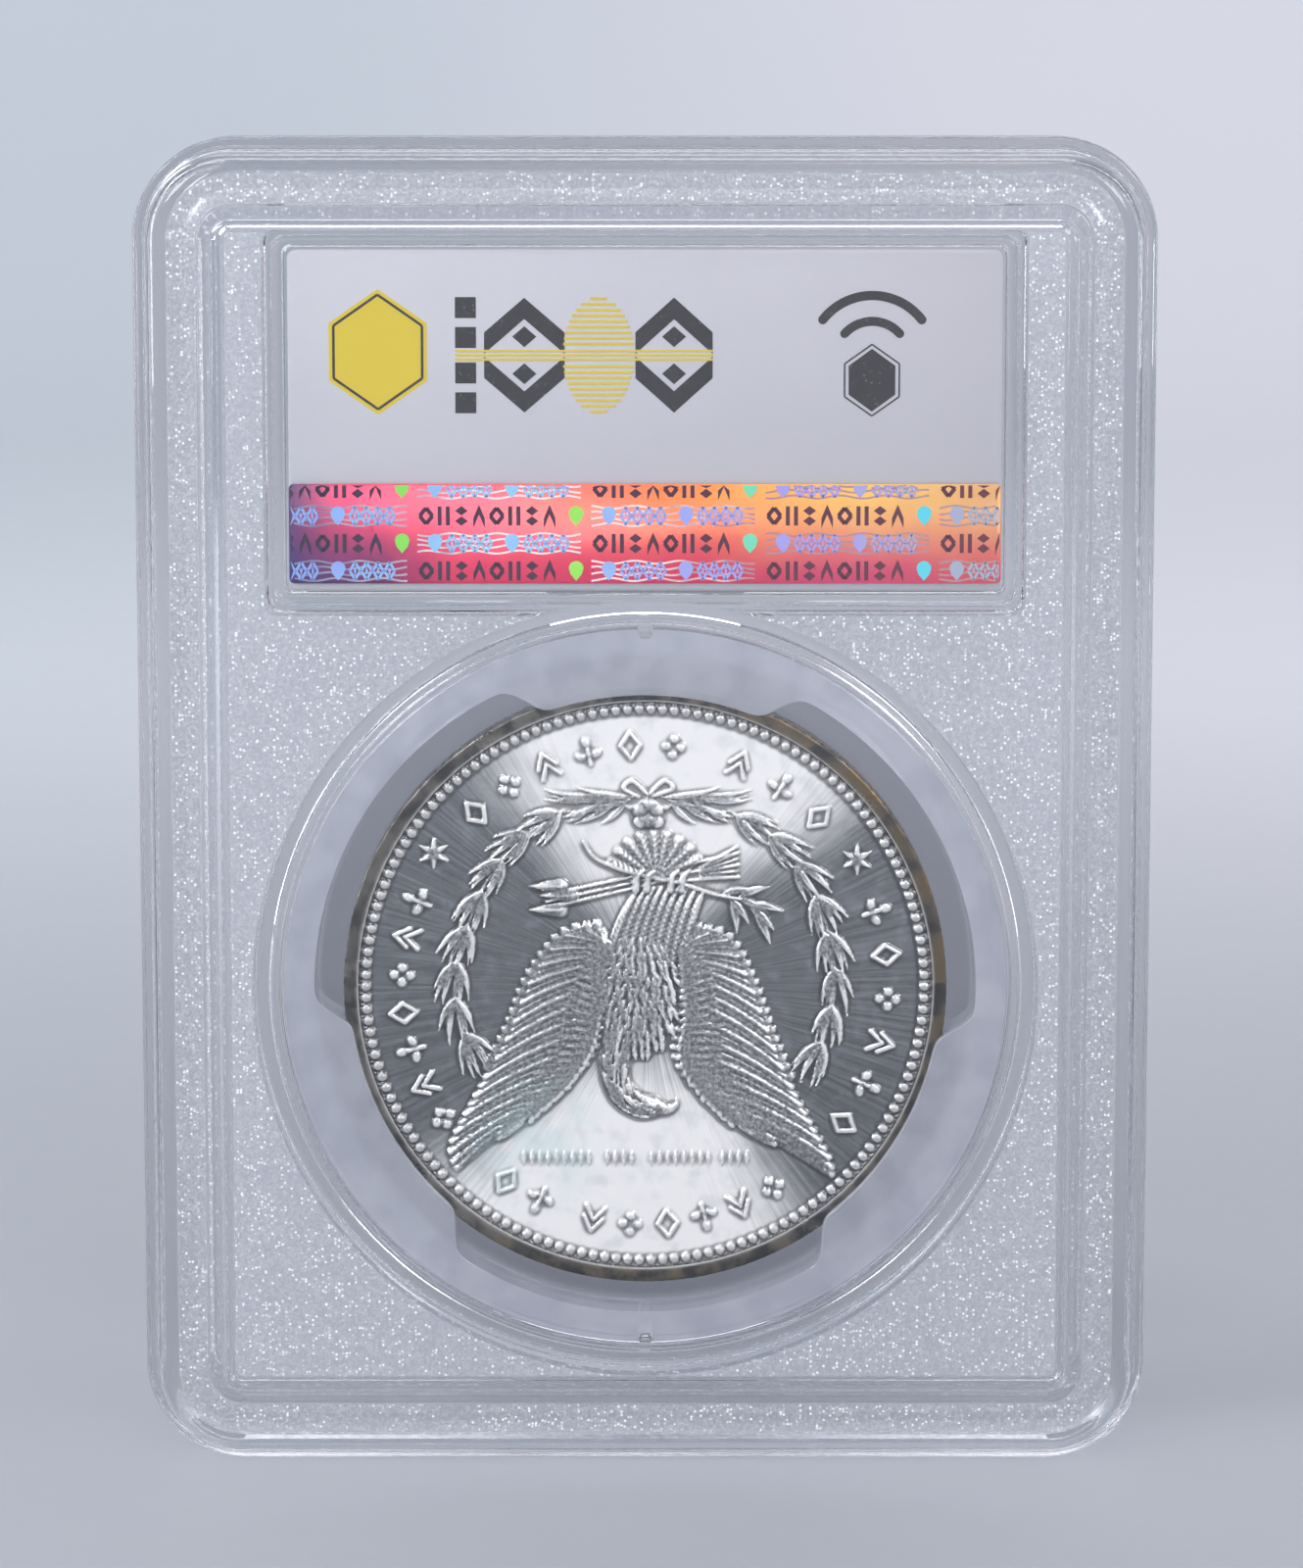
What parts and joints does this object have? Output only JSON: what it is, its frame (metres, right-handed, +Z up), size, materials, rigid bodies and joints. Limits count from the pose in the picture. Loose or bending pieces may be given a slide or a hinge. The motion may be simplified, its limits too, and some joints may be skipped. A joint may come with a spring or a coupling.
{
  "type": "graded coin slab",
  "caption": "Sealed clear two-shell coin holder: a pronged ring grips a large silver coin below a framed window with printed labels and a foil strip.",
  "frame": {"origin": "middle of the bottom edge, in the plane of the welded seam", "axes": "+Z up towards the label end, +X to the right as the rear face is read, +Y out of the front face; the rear face with the foil strip looks along -Y"},
  "size_m": [0.0636, 0.0086, 0.0838],
  "materials": {
    "clear_case": "clear polystyrene, polished edges and windows with finely frosted panels",
    "clear_ring": "clear moulded ring with a slightly milky body",
    "silver": "bright struck silver with light golden toning at the rim",
    "label_card": "smooth white card with gold and dark print",
    "security_foil": "holographic foil",
    "tag_film": "thin satin film",
    "tag_metal": "etched foil track",
    "tag_chip": "black moulded chip"
  },
  "bodies": {
    "root": {"front_shell": "clear_case", "rear_shell": "clear_case", "coin_ring": "clear_ring", "coin": "silver", "front_label": "label_card", "rear_label": "label_card", "security_strip": "security_foil", "nfc_film": "tag_film", "nfc_antenna": "tag_metal", "nfc_bridge": "tag_metal", "nfc_chip": "tag_chip"}
  },
  "joints": []
}
